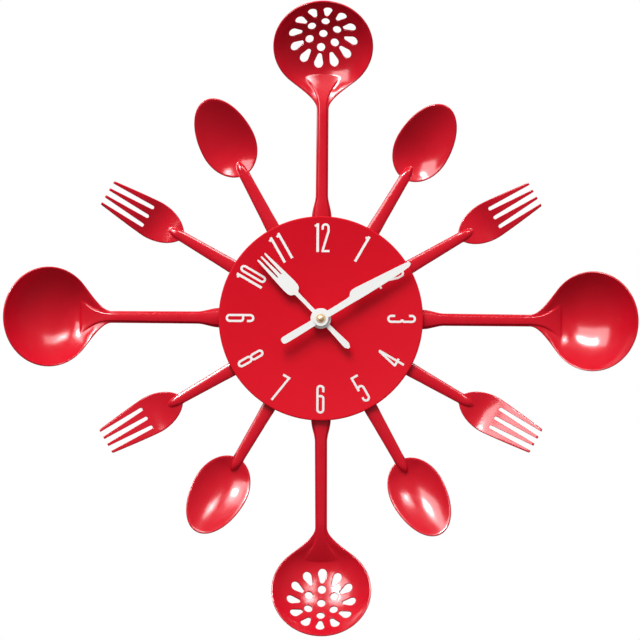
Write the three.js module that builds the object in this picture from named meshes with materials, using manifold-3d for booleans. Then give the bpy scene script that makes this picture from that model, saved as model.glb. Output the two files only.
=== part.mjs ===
// A quartz wall clock whose twelve hour marks are kitchen utensils: ladles, skimmers, spoons and forks
// standing out like rays from a round dial. Millimetres, +Z towards twelve o'clock, dial facing -Y.
// Everything is drawn as seen from the front (x right, y up, z away from the wall) inside one group
// that is turned upright at the end. The wall is z = 0 and the hands turn about the z axis.
import * as THREE from 'three';
import { mergeVertices } from 'three/addons/utils/BufferGeometryUtils.js';
import Module from 'manifold-3d';

const wasm = await Module();
wasm.setup();

// ---- driving dimensions ----
const CLEAR = 0.3;            // gap left between touching pieces
const CASE_SIDE = 56;         // quartz movement case, square
const CASE_DEPTH = 16.5;
const CASE_WALL = 1.0;
const CASE_SPLIT = 10;        // depth of the rear shell
const HANGER_BACK = 16.8;     // hanger strip between movement and carrier
const HANGER_THICK = 0.8;
const CARRIER_BACK = 17.9;    // moulded disc that holds the utensil handles
const CARRIER_FRONT = 23.4;
const CARRIER_RADIUS = 58;
const SOCKET_FLOOR = 19.0;
const DIAL_RADIUS = 64.5;
const DIAL_BACK = 23.7;
const DIAL_THICK = 1.0;
const BUSH_RADIUS = 4.0;      // threaded bush of the movement
const BUSH_END = 28.2;
const HOUR_PLANE = 28.9;      // back of the hour hand
const MINUTE_PLANE = 31.3;    // back of the minute hand
const HAND_THICK = 0.8;
const HOUR_ANGLE = 315.7;     // clockwise from twelve, in degrees
const MINUTE_ANGLE = 58.7;

// The utensils in order from one o'clock, round the dial twice, and how far each leans clockwise.
const UTENSILS = ['spoon', 'fork', 'ladle', 'fork', 'spoon', 'skimmer'];
const LEANS = [0.5, -0.4, 0.3, -0.6, 0.6, -0.4, 0.1, -0.1, 0.1, 0.2, 1.7, 0.2];
const HANDLE_MID = 20.5;      // depth of the middle of every handle
const HANDLE_THICK = 2.4;
const HANDLE_START = 47.5;    // inner end of the handles, inside the carrier
const SCREW_AT = 54;          // tang screws, distance from the axis

const BOWL_RIM = 31.5;        // ladle bowl, outside: rim radius, depth and tilt
const BOWL_DEEP = 14;
const BOWL_TILT = 25;
const BOWL_AT = 171.5;        // distance of the rim's centre from the axis
const SHELL = 1.2;            // sheet thickness of the bowls
const DRAIN_AT = 3.0;         // middle of the draining holes, beyond the middle of the rim
const DRAIN_TURNS = { 12: 8.5, 6: 2.5 };  // how far each skimmer's pattern of holes is turned clockwise

const HEAD_START = 100;       // where spoon and fork handles meet their heads
const SPOON_DEEP = 6.5;
const SPOON_TILT = 18;        // heads bend forwards: the final slope, and where the bend starts and how long it is
const SPOON_BEND = [100, 14];
const FORK_TILT = 24;
const FORK_BEND = [104, 22];

// Gear train: tooth counts, axis places and modules.
const LEAF = 6;
const FIFTH_TEETH = 30;
const SECOND_TEETH = 36;
const THIRD_TEETH = 45;
const CENTRE_TEETH = 48;
const CANNON_TEETH = 8;
const MOTION_TEETH = 24;
const HOUR_TEETH = 24;
const KNOB_TEETH = 8;
const THIRD_REACH = 8.9;      // distances between arbors
const FIFTH_REACH = 9.1;
const ROTOR_REACH = 6.48;
const MOTION_REACH = 9.6;
const THIRD_BEARING = 20;     // directions, degrees anticlockwise from the right
const FIFTH_BEARING = 125;
const ROTOR_BEARING = 140;
const MOTION_BEARING = 190;
const KNOB_BEARING = 190;
const ARBOR = 0.5;
const PIVOT_HOLE = 0.72;

const BATTERY_RADIUS = 7.1;
const BATTERY_Y = -19.6;
const BATTERY_Z = 7.9;
const BATTERY_LEFT = -24.6;
const BATTERY_LENGTH = 50.5;

// ---- materials ----
const paint = (color, roughness, metalness = 0) => new THREE.MeshStandardMaterial({ color, roughness, metalness });
const ENAMEL = paint(0xb8142a, 0.12);
const DIAL_RED = paint(0xd01725, 0.5);
const WHITE = paint(0xf4f2ee, 0.35);
const BLACK = paint(0x1a1a1c, 0.5);
const STEEL = paint(0xb9bcc0, 0.3, 1);
const BRASS = paint(0xd8a860, 0.3, 1);
const RUBBER = paint(0x161616, 0.8);
const NYLON = paint(0xe9e6dc, 0.45);
const COPPER = paint(0xb5642f, 0.35, 1);
const BOARD = paint(0x8a6a34, 0.6);
const CELL = paint(0x2e6a54, 0.35);

// ---- helpers ----
const radians = (degrees) => degrees * Math.PI / 180;
const along = (bearing, reach, from = [0, 0]) => [
  from[0] + reach * Math.cos(radians(bearing)),
  from[1] + reach * Math.sin(radians(bearing)),
];

const bearingOf = (hour) => 30 * hour + LEANS[hour - 1];

function solid(geometry) {
  const bare = geometry.clone();
  bare.deleteAttribute('normal');
  bare.deleteAttribute('uv');
  const merged = mergeVertices(bare, 1e-4);
  return new wasm.Manifold(new wasm.Mesh({
    numProp: 3,
    vertProperties: merged.attributes.position.array,
    triVerts: new Uint32Array(merged.index.array),
  }));
}

function geometryOf(made) {
  const mesh = made.getMesh();
  const geometry = new THREE.BufferGeometry();
  geometry.setAttribute('position', new THREE.BufferAttribute(new Float32Array(mesh.vertProperties), 3));
  geometry.setIndex(new THREE.BufferAttribute(new Uint32Array(mesh.triVerts), 1));
  geometry.computeVertexNormals();
  return geometry;
}

// A flat piece from an outline drawn as seen from the front, between two depths.
function plate(outline, back, front, curveSegments = 8) {
  const shape = outline instanceof THREE.Shape
    ? outline
    : new THREE.Shape(outline.map(([x, y]) => new THREE.Vector2(x, y)));
  const geometry = new THREE.ExtrudeGeometry(shape, { depth: front - back, bevelEnabled: false, curveSegments });
  return solid(geometry.translate(0, 0, back));
}

function box(low, high) {
  const size = high.map((value, i) => value - low[i]);
  const middle = high.map((value, i) => (value + low[i]) / 2);
  return solid(new THREE.BoxGeometry(...size).translate(...middle));
}

// A turned piece about z: the profile is [radius, depth], anticlockwise with the axis on the left.
function turned(profile, segments = 24, [x, y] = [0, 0]) {
  const points = profile.map(([radius, depth]) => new THREE.Vector2(radius, depth));
  return solid(new THREE.LatheGeometry(points, segments).rotateX(Math.PI / 2).translate(x, y, 0));
}

const rod = (radius, back, front, segments, at) =>
  turned([[0, back], [radius, back], [radius, front], [0, front]], segments, at);

const ring = (inner, outer, back, front, segments, at) =>
  turned([[inner, back], [outer, back], [outer, front], [inner, front], [inner, back]], segments, at);

const join = (...pieces) => pieces.reduce((sum, piece) => sum.add(piece));
const cut = (piece, ...tools) => tools.reduce((left, tool) => left.subtract(tool), piece);

function roundedSquare(half, corner) {
  const shape = new THREE.Shape();
  const inner = half - corner;
  [[inner, inner, 0], [-inner, inner, 90], [-inner, -inner, 180], [inner, -inner, 270]].forEach(([x, y, start]) =>
    shape.absarc(x, y, corner, radians(start), radians(start + 90), false));
  return shape;
}

// A whole outline from its right half.
function mirrored(half) {
  const left = half.map(([x, y]) => [-x, y]).reverse();
  return [...half, ...left];
}

const clock = new THREE.Group();
clock.rotation.x = Math.PI / 2;

function add(name, made, material, turn = 0) {
  const mesh = new THREE.Mesh(geometryOf(made), material);
  mesh.name = name;
  mesh.rotation.z = -radians(turn);
  clock.add(mesh);
}

// ---- toothed wheels ----
// A wheel keeps its centre, tooth count and phase, the angle of one tooth's middle.
const pitchRadius = (teeth, module) => teeth * module / 2;

function toothed(wheel, back, front) {
  const pitch = pitchRadius(wheel.teeth, wheel.module);
  const step = 2 * Math.PI / wheel.teeth;
  const tip = pitch + 0.72 * wheel.module;
  const root = pitch - 1.0 * wheel.module;
  const outline = [];
  for (let i = 0; i < wheel.teeth; i++) {
    const middle = wheel.phase + i * step;
    [[root, -0.24], [tip, -0.1], [tip, 0.1], [root, 0.24]].forEach(([radius, share]) => outline.push([
      wheel.at[0] + radius * Math.cos(middle + share * step),
      wheel.at[1] + radius * Math.sin(middle + share * step),
    ]));
  }
  return plate(outline, back, front);
}

// The phase that puts one wheel's teeth in the gaps of the wheel that drives it.
function meshed(driver, teeth, module, at) {
  const bearing = Math.atan2(at[1] - driver.at[1], at[0] - driver.at[0]);
  const share = (bearing - driver.phase) * driver.teeth / (2 * Math.PI);
  const phase = bearing + Math.PI - (0.5 - share) * 2 * Math.PI / teeth;
  return { teeth, module, at, phase };
}

const CENTRE = [0, 0];
const FIFTH_AT = along(FIFTH_BEARING, FIFTH_REACH);
const ROTOR_AT = along(ROTOR_BEARING, ROTOR_REACH, FIFTH_AT);
const THIRD_AT = along(THIRD_BEARING, THIRD_REACH);
const MOTION_AT = along(MOTION_BEARING, MOTION_REACH);
const KNOB_AT = along(KNOB_BEARING, MOTION_REACH, MOTION_AT);

const moduleFor = (reach, a, b) => 2 * reach / (a + b);
const rotorLeaf = { teeth: LEAF, module: moduleFor(ROTOR_REACH, LEAF, FIFTH_TEETH), at: ROTOR_AT, phase: 0 };
const fifthGear = meshed(rotorLeaf, FIFTH_TEETH, rotorLeaf.module, FIFTH_AT);
const fifthLeaf = { teeth: LEAF, module: moduleFor(FIFTH_REACH, LEAF, SECOND_TEETH), at: FIFTH_AT, phase: 0 };
const secondGear = meshed(fifthLeaf, SECOND_TEETH, fifthLeaf.module, CENTRE);
const secondLeaf = { teeth: LEAF, module: moduleFor(THIRD_REACH, LEAF, THIRD_TEETH), at: CENTRE, phase: 0 };
const thirdGear = meshed(secondLeaf, THIRD_TEETH, secondLeaf.module, THIRD_AT);
const thirdLeaf = { teeth: LEAF, module: moduleFor(THIRD_REACH, LEAF, CENTRE_TEETH), at: THIRD_AT, phase: 0 };
const centreGear = meshed(thirdLeaf, CENTRE_TEETH, thirdLeaf.module, CENTRE);
const cannonLeaf = { teeth: CANNON_TEETH, module: moduleFor(MOTION_REACH, CANNON_TEETH, MOTION_TEETH), at: CENTRE, phase: 0 };
const motionGear = meshed(cannonLeaf, MOTION_TEETH, cannonLeaf.module, MOTION_AT);
const motionLeaf = { teeth: LEAF, module: moduleFor(MOTION_REACH, LEAF, HOUR_TEETH), at: MOTION_AT, phase: 0 };
const hourGear = meshed(motionLeaf, HOUR_TEETH, motionLeaf.module, CENTRE);
const knobLeaf = meshed(motionGear, KNOB_TEETH, motionGear.module, KNOB_AT);

function addTrain() {
  add('rotor', join(
    rod(ARBOR, 1.5, 8.9, 8, ROTOR_AT),
    toothed(rotorLeaf, 4.0, 5.6),
    rod(3.0, 5.6, 8.0, 16, ROTOR_AT),
  ), STEEL);
  add('fifth_wheel', join(
    rod(ARBOR, 1.5, 8.9, 8, FIFTH_AT),
    toothed(fifthLeaf, 2.2, 4.4),
    toothed(fifthGear, 4.4, 5.1),
  ), NYLON);
  add('second_wheel', join(
    rod(ARBOR, 1.5, 8.8, 8),
    toothed(secondGear, 2.6, 3.4),
    toothed(secondLeaf, 3.4, 6.5),
  ), NYLON);
  add('third_wheel', join(
    rod(ARBOR, 1.5, 8.9, 8, THIRD_AT),
    toothed(thirdGear, 5.6, 6.4),
    toothed(thirdLeaf, 6.4, 8.3),
  ), NYLON);
  const centreBore = rod(1.95, 7, 9, 16);
  add('centre_wheel', cut(toothed(centreGear, 7.4, 8.2), centreBore), BRASS);
  // The cannon pinion is hollow behind, where the second wheel's arbor ends inside it.
  add('minute_arbor', cut(
    join(rod(1.55, 7.0, 33.2, 12), toothed(cannonLeaf, 9.4, 11.5)),
    rod(0.9, 6.5, 10, 8),
  ), BRASS);
  add('motion_wheel', join(
    rod(ARBOR, 8.6, 14.8, 8, MOTION_AT),
    toothed(motionGear, 9.5, 10.3),
    toothed(motionLeaf, 10.3, 13.1),
  ), NYLON);
  add('hour_wheel', cut(
    join(toothed(hourGear, 11.9, 12.8), rod(2.6, 12.8, 30.2, 14)),
    rod(1.95, 11, 31, 12),
  ), NYLON);
  add('setting_knob', cut(
    join(rod(5.8, 0.5, 3.4, 24, KNOB_AT), rod(1.1, 3.4, 9.2, 10, KNOB_AT), toothed(knobLeaf, 9.2, 10.8)),
    ...Array.from({ length: 8 }, (_, i) => rod(0.9, 0, 3.4, 4, along(i * 45, 6.1, KNOB_AT))),
  ), BLACK);
}

// ---- movement case ----
const HALF = CASE_SIDE / 2;
const INNER = HALF - CASE_WALL;
const BAY_TOP = -12.2;
const pivotPost = (at, back, front) => rod(1.5, back, front, 10, at);

function addCase() {
  const trayWall = cut(plate(roundedSquare(HALF, 3), CASE_SPLIT + CLEAR / 2, CASE_DEPTH, 4),
    plate(roundedSquare(INNER, 2), 0, CASE_DEPTH - CASE_WALL, 4));
  add('movement_case_front', cut(
    join(trayWall, pivotPost(MOTION_AT, 13.4, 16), rod(BUSH_RADIUS, 16, BUSH_END, 16)),
    rod(PIVOT_HOLE, 13, 15.2, 8, MOTION_AT),
    rod(3.0, 15, 29, 12),
  ), BLACK);

  const shell = cut(plate(roundedSquare(HALF, 3), 0, CASE_SPLIT - CLEAR / 2, 4),
    plate(roundedSquare(INNER, 2), CASE_WALL, CASE_SPLIT + 1, 4));
  const partition = box([-INNER - 0.4, BAY_TOP, 0], [INNER + 0.4, BAY_TOP + 0.9, CASE_SPLIT - CLEAR / 2]);
  const knobWell = rod(7.4, 0.5, 4.6, 24, KNOB_AT);
  const posts = [CENTRE, FIFTH_AT, ROTOR_AT, THIRD_AT].map((at) => pivotPost(at, 0.5, 2.0));
  add('movement_case_rear', cut(
    join(shell, partition, knobWell, ...posts),
    box([-INNER + 0.6, -INNER + 0.2, -1], [INNER - 0.6, BAY_TOP, 2]),
    rod(6.5, -1, 3.8, 24, KNOB_AT),
    rod(1.4, 3, 6, 10, KNOB_AT),
    ...[CENTRE, FIFTH_AT, ROTOR_AT, THIRD_AT].map((at) => rod(PIVOT_HOLE, 1.2, 3, 8, at)),
  ), BLACK);

  add('train_plate', cut(
    plate([[-15.5, 15.5], [-15.5, -5.5], [12.5, -5.5], [12.5, 7.5], [-1, 12.5], [-5, 15.5]].reverse(), 8.5, 9.1),
    rod(2.4, 8, 10, 16),
    ...[FIFTH_AT, ROTOR_AT, THIRD_AT, MOTION_AT].map((at) => rod(PIVOT_HOLE, 8, 10, 8, at)),
  ), NYLON);
}

// ---- drive: circuit, coil, battery ----
function addDrive() {
  add('stator', cut(
    plate([[-23, 24.5], [-23, 10.5], [-14.5, 6.6], [-9.5, 6.6], [-6, 9.4], [-1, 12.6], [-1, 24.5],
      [-5.5, 24.5], [-5.5, 16.8], [-18.5, 16.8], [-18.5, 24.5]], 6.3, 7.3),
    rod(3.7, 6, 8, 16, ROTOR_AT),
  ), STEEL);
  add('coil_core', box([-22.6, 20.4, 7.6], [-1.4, 22.6, 8.8]), STEEL);
  const across = (profile, segments) => solid(new THREE.LatheGeometry(
    profile.map(([radius, x]) => new THREE.Vector2(radius, x)), segments,
  ).rotateZ(-Math.PI / 2).translate(0, 21.5, 8.2));
  add('coil_bobbin', across([[1.7, -18.2], [3.9, -18.2], [3.9, -17.5], [2.2, -17.5], [2.2, -6.5], [3.9, -6.5],
    [3.9, -5.8], [1.7, -5.8], [1.7, -18.2]], 12), NYLON);
  add('coil_winding', across([[2.5, -17.2], [3.6, -17.2], [3.6, -6.8], [2.5, -6.8], [2.5, -17.2]], 12), COPPER);

  add('circuit_board', box([3.5, 12.6, 2.6], [26, 26, 3.5]), BOARD);
  add('circuit_chip', plate(roundedSquare(2.6, 1.2), 0, 1.1, 3).translate([10, 19, 3.8]), BLACK);
  const can = new THREE.LatheGeometry([[0, 0], [1.2, 0], [1.2, 6.5], [0, 6.5]].map(([r, x]) =>
    new THREE.Vector2(r, x)), 10).rotateZ(-Math.PI / 2).translate(16, 23, 5.1);
  add('quartz_crystal', solid(can), STEEL);

  const right = BATTERY_LEFT + BATTERY_LENGTH;
  const cell = [[0, BATTERY_LEFT], [BATTERY_RADIUS, BATTERY_LEFT], [BATTERY_RADIUS, right - 1.3], [2.6, right - 1.3],
    [2.6, right], [0, right]];
  add('battery', solid(new THREE.LatheGeometry(cell.map(([r, x]) => new THREE.Vector2(r, x)), 20)
    .rotateZ(-Math.PI / 2).translate(0, BATTERY_Y, BATTERY_Z)), CELL);
  const tab = (x) => box([x, BATTERY_Y - 4.5, 3], [x + 0.4, BATTERY_Y + 4.5, 13]);
  add('battery_contact_positive', tab(26.2), STEEL);
  add('battery_contact_negative', join(tab(-26.8), contactSpring()), STEEL);
}

// The negative contact's conical spring, pressed nearly flat by the battery.
class ConicalCoil extends THREE.Curve {
  getPoint(t, target = new THREE.Vector3()) {
    const turn = t * 2.25 * 2 * Math.PI;
    const radius = 4.2 - 2.2 * t;
    return target.set(-26.35 + 1.0 * t, BATTERY_Y + radius * Math.cos(turn), BATTERY_Z + radius * Math.sin(turn));
  }
}

function contactSpring() {
  const wire = new THREE.Shape().absarc(0, 0, 0.25, 0, 2 * Math.PI);
  return solid(new THREE.ExtrudeGeometry(wire, { steps: 20, curveSegments: 2, extrudePath: new ConicalCoil() }));
}

// ---- plates on the bush ----
function addPlates() {
  const strip = new THREE.Shape([[-9, HANGER_BACK], [30.7, HANGER_BACK], [30.7, 2.2], [42, 2.2], [42, 3.0], [31.5, 3.0],
    [31.5, HANGER_BACK + HANGER_THICK], [-9, HANGER_BACK + HANGER_THICK]].map(([y, z]) => new THREE.Vector2(y, z)));
  const turnedStrip = new THREE.ExtrudeGeometry(strip, { depth: 16, bevelEnabled: false });
  turnedStrip.applyMatrix4(new THREE.Matrix4().makeBasis(
    new THREE.Vector3(0, 1, 0), new THREE.Vector3(0, 0, 1), new THREE.Vector3(1, 0, 0)));
  const keyhole = new THREE.Shape();
  keyhole.absarc(0, 35.6, 2.6, 0, Math.PI, false);
  keyhole.absarc(0, 35.6, 4.4, Math.PI + 0.2, 2 * Math.PI - 0.2, false);
  add('hanger', cut(
    solid(turnedStrip.translate(-8, 0, 0)),
    rod(BUSH_RADIUS + CLEAR, 16, 19, 20),
    plate(keyhole, 0, 6, 6),
  ), STEEL);

  const sockets = [];
  for (let hour = 1; hour <= 12; hour++) {
    const slot = box([-6.9, HANDLE_START - 1.2, SOCKET_FLOOR], [6.9, CARRIER_RADIUS + 2, 30]);
    const hole = rod(1.5, 10, 25, 6, [0, SCREW_AT]);
    sockets.push(slot.add(hole).rotate([0, 0, -bearingOf(hour)]));
  }
  const pocket = ring(12, 44, CARRIER_BACK + 1.5, CARRIER_FRONT + 1, 18);
  add('utensil_carrier', cut(
    ring(BUSH_RADIUS + CLEAR, CARRIER_RADIUS, CARRIER_BACK, CARRIER_FRONT, 36),
    pocket,
    ...sockets,
  ), BLACK);
  add('dial_plate', turned([[BUSH_RADIUS + CLEAR, DIAL_BACK], [DIAL_RADIUS - 0.4, DIAL_BACK], [DIAL_RADIUS, DIAL_BACK + 0.4],
    [DIAL_RADIUS, DIAL_BACK + DIAL_THICK - 0.3], [DIAL_RADIUS - 0.5, DIAL_BACK + DIAL_THICK],
    [BUSH_RADIUS + CLEAR, DIAL_BACK + DIAL_THICK], [BUSH_RADIUS + CLEAR, DIAL_BACK]], 40), DIAL_RED);
  add('rubber_washer', ring(BUSH_RADIUS + CLEAR, 6.0, DIAL_BACK + DIAL_THICK + 0.1, 25.3, 24), RUBBER);
  add('steel_washer', ring(BUSH_RADIUS + CLEAR, 5.8, 25.4, 25.8, 24), STEEL);
  add('fixing_nut', cut(rod(5.9, 25.9, 27.9, 6), rod(BUSH_RADIUS + CLEAR, 25, 29, 20)), BRASS);
}

// ---- hands ----
function hourHandOutline() {
  // A three-tined fork: the right half from the tail to the middle tine, then its mirror image.
  return mirrored([[1.4, -25.8], [2.05, -23.8], [1.7, -6], [1.3, 6], [1.3, 22.3], [3.4, 23.4], [4.5, 26.2],
    [4.55, 29.5], [4.2, 38], [3.6, 53.6], [3.0, 54.2], [2.4, 53.4], [1.9, 38.2], [1.55, 37.4], [1.1, 38.2], [0.5, 54]]);
}

function minuteHandOutline() {
  // A table knife: round tail, arm, then a blade with its heel and back on the left.
  return [[0, -28.7], [1.7, -28.1], [2.3, -26.2], [2.1, -5], [1.9, 20], [1.9, 24], [1.0, 62], [0.4, 65.4], [-1.0, 66.3],
    [-2.6, 65.2], [-5.4, 28], [-5.0, 25.4], [-3.4, 23.6], [-1.9, 22.4], [-2.1, -5], [-2.3, -26.2], [-1.7, -28.1]];
}

function addHands() {
  const hour = join(plate(hourHandOutline(), HOUR_PLANE, HOUR_PLANE + HAND_THICK),
    rod(6.45, HOUR_PLANE, HOUR_PLANE + HAND_THICK, 32));
  add('hour_hand', cut(hour, rod(2.85, 28, 31, 20)), WHITE, HOUR_ANGLE);
  const minute = join(plate(minuteHandOutline(), MINUTE_PLANE, MINUTE_PLANE + HAND_THICK),
    rod(4.8, MINUTE_PLANE, MINUTE_PLANE + HAND_THICK + 0.6, 28));
  add('minute_hand', cut(minute, rod(1.8, 30, 35, 16), rod(3.0, MINUTE_PLANE + HAND_THICK, 35, 20)), WHITE, MINUTE_ANGLE);
  add('hand_nut', turned([[1.8, 32.3], [2.9, 32.3], [2.9, 33.0], [2.1, 33.1], [1.5, 34.0], [0, 34.2], [0, 33.5],
    [1.8, 33.5], [1.8, 32.3]], 20), BRASS);
}

// ---- utensils, drawn pointing to twelve o'clock ----
function handleOutline(tang, waist, neck, end) {
  const shape = new THREE.Shape();
  shape.moveTo(-tang, HANDLE_START + tang);
  shape.absarc(0, HANDLE_START + tang, tang, Math.PI, 2 * Math.PI, false);
  shape.lineTo(tang, 64);
  shape.quadraticCurveTo(tang * 0.85, 70, waist, 78);
  shape.lineTo(neck, end);
  shape.lineTo(-neck, end);
  shape.lineTo(-waist, 78);
  shape.quadraticCurveTo(-tang * 0.85, 70, -tang, 64);
  return shape;
}

const HANDLE_BACK = HANDLE_MID - HANDLE_THICK / 2;
const HANDLE_FRONT = HANDLE_MID + HANDLE_THICK / 2;
const screwHole = () => rod(1.35, 10, 30, 8, [0, SCREW_AT]);

// The bowl of a ladle: a shell cut from a sphere, its rim leaning forwards at the outer edge.
function ladleBowl(cutters) {
  const sphere = (BOWL_RIM ** 2 + BOWL_DEEP ** 2) / (2 * BOWL_DEEP);
  const spread = Math.asin(BOWL_RIM / sphere);
  const arc = (radius, steps) => Array.from({ length: steps + 1 }, (_, i) => {
    const angle = spread * i / steps;
    return [radius * Math.sin(angle), -radius * Math.cos(angle)];
  });
  const profile = [...arc(sphere, 3), ...arc(sphere - SHELL, 3).reverse()];
  const bowl = cut(turned(profile, 24), ...cutters);
  const rise = sphere - BOWL_DEEP;
  const tilt = radians(BOWL_TILT);
  const rimCentre = HANDLE_MID - 0.5 + BOWL_RIM * Math.sin(tilt);
  return bowl.rotate([BOWL_TILT, 0, 0])
    .translate([0, BOWL_AT - rise * Math.sin(tilt), rimCentre + rise * Math.cos(tilt)]);
}

// Nineteen draining holes: one in the middle, six round it and twelve drop-shaped ones outside.
function drainHoles(turn) {
  const round = (at) => rod(2.55, -60, -20, 6, at);
  const drop = plate([[-0.9, 13.4], [0.9, 13.4], [2.8, 18.6], [1.6, 21.5], [-1.6, 21.5], [-2.8, 18.6]], -60, -20);
  const inner = Array.from({ length: 6 }, (_, i) => round(along(60 * i + 90, 9.3)));
  const outer = Array.from({ length: 12 }, (_, i) => drop.rotate([0, 0, 30 * i]));
  return [round([0, 0]), ...inner, ...outer].map((hole) =>
    hole.rotate([0, 0, -turn]).translate([0, DRAIN_AT, 0]));
}

function ladle(cutters) {
  const web = new THREE.Shape();
  web.moveTo(3.75, 128);
  web.bezierCurveTo(3.9, 138, 8, 144, 13, 151.5);
  web.quadraticCurveTo(13.6, 154.5, 10.5, 155.6);
  web.lineTo(-10.5, 155.6);
  web.quadraticCurveTo(-13.6, 154.5, -13, 151.5);
  web.bezierCurveTo(-8, 144, -3.9, 138, -3.75, 128);
  const low = plate([[8, 144.6], [12.4, 151.5], [12.4, 154.5], [-12.4, 154.5], [-12.4, 151.5], [-8, 144.6]], 16.6, HANDLE_MID);
  return cut(join(
    plate(handleOutline(6.2, 3.9, 3.75, 130), HANDLE_BACK, HANDLE_FRONT, 6),
    plate(web, HANDLE_BACK, HANDLE_FRONT, 5),
    low,
    ladleBowl(cutters),
  ), screwHole());
}

// A dished sheet: half-width and depth of its middle line along the length, and how far its middle sinks.
function dished(stations, sink, across = 4) {
  const front = [];
  const back = [];
  stations.forEach(([y, half, z, thick]) => {
    for (let i = 0; i <= across; i++) {
      const share = 2 * i / across - 1;
      const depth = z - sink(y) * (1 - share * share);
      front.push([half * share, y, depth + thick / 2]);
      back.push([half * share, y, depth - thick / 2]);
    }
  });
  const index = [];
  const quad = (a, b, c, d) => index.push(a, b, c, a, c, d);
  const rows = stations.length;
  const width = across + 1;
  const offset = rows * width;
  for (let row = 0; row < rows - 1; row++) {
    for (let i = 0; i < across; i++) {
      const a = row * width + i;
      quad(a, a + 1, a + 1 + width, a + width);
      quad(offset + a, offset + a + width, offset + a + 1 + width, offset + a + 1);
    }
    const left = row * width;
    const right = left + across;
    quad(left + width, offset + left + width, offset + left, left);
    quad(right, offset + right, offset + right + width, right + width);
  }
  for (let i = 0; i < across; i++) {
    const last = (rows - 1) * width + i;
    quad(i, offset + i, offset + i + 1, i + 1);
    quad(last + 1, offset + last + 1, offset + last, last);
  }
  const geometry = new THREE.BufferGeometry();
  geometry.setAttribute('position', new THREE.BufferAttribute(new Float32Array([...front, ...back].flat()), 3));
  geometry.setIndex(index);
  return solid(geometry);
}

const bump = (y, from, to) => (y <= from || y >= to ? 0 : Math.sin(Math.PI * (y - from) / (to - from)));

// How far a head has bent forwards: its slope grows along the bend and then stays.
function bent(y, [start, length], tilt) {
  const slope = Math.tan(radians(tilt));
  const share = Math.max(0, Math.min(1, (y - start) / length));
  return slope * (length * share ** 2 / 2 + Math.max(0, y - start - length));
}

function spoon() {
  const stations = [[HEAD_START, 3.1], [103.5, 4.8], [106, 8.6], [109.5, 12.2], [114.5, 15.1], [121, 17.2], [127, 17.5],
    [134, 16.6], [141, 14.4], [148, 11.2], [152.5, 7.8], [155.5, 3]].map(([y, half]) =>
    [y, half, HANDLE_MID + bent(y, SPOON_BEND, SPOON_TILT), 1.3]);
  return cut(join(
    plate(handleOutline(4.1, 3.7, 3.1, HEAD_START + 2), HANDLE_BACK, HANDLE_FRONT, 4),
    dished(stations, (y) => SPOON_DEEP * bump(y, 101, 157) ** 0.8),
  ), screwHole());
}

function fork() {
  const stations = [[HEAD_START, 3.0], [103, 4.6], [106, 7.6], [111, 9.8], [117, 11.5], [123, 12.1], [132, 11.5], [141, 10.6],
    [149, 9.2], [155.4, 8.6]].map(([y, half]) =>
    [y, half, HANDLE_MID - 1.8 * bump(y, 101, 131) + bent(y, FORK_BEND, FORK_TILT), 1.5]);
  const slot = (root, tip) => plate([[root - 1.2, 127], [root, 125.8], [root + 1.2, 127], [tip + 1.9, 158], [tip - 1.9, 158]],
    10, 50);
  return cut(join(
    plate(handleOutline(4.1, 3.7, 3.0, HEAD_START + 2), HANDLE_BACK, HANDLE_FRONT, 4),
    dished(stations, (y) => bump(y, 101, 136), 2),
  ), slot(-6.4, -5.1), slot(0, 0), slot(6.4, 5.1), screwHole());
}

function addUtensils() {
  const shapes = { spoon: spoon(), fork: fork(), ladle: ladle([]) };
  const screw = turned([[0, 15.6], [2.2, 16.0], [2.2, 17.3], [1.05, 17.6], [1.05, 22.6], [0, 23.3]], 6, [0, SCREW_AT]);
  for (let hour = 1; hour <= 12; hour++) {
    const kind = UTENSILS[(hour - 1) % 6];
    const shape = kind === 'skimmer' ? ladle(drainHoles(DRAIN_TURNS[hour])) : shapes[kind];
    add(kind + '_' + hour, shape, ENAMEL, bearingOf(hour));
    add('tang_screw_' + hour, screw, STEEL, bearingOf(hour));
  }
}

addCase();
addTrain();
addDrive();
addPlates();
addHands();
addUtensils();

export default clock;
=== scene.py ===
"""A wall clock whose twelve hour marks are red enamelled kitchen utensils: the looks around the CAD part.

Shapes are drawn as seen from the front, in millimetres: x to the right, y up, z away from the wall.
Utensils are drawn pointing to twelve o'clock and then turned to their own bearings.
"""
import math

import bpy
import numpy as np
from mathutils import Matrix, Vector


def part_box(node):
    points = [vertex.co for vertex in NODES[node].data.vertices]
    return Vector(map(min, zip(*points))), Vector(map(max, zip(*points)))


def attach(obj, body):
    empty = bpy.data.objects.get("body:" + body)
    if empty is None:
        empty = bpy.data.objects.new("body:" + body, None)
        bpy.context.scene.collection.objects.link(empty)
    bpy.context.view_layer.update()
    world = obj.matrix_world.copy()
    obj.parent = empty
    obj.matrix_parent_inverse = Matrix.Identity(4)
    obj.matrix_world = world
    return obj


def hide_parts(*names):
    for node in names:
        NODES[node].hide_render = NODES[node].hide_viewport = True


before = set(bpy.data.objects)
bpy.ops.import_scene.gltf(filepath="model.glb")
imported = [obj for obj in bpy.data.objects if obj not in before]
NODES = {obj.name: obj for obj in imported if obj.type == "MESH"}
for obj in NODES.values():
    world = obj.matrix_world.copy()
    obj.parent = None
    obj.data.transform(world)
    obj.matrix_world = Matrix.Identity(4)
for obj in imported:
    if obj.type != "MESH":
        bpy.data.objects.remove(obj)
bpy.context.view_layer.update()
MM = 0.001

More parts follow.
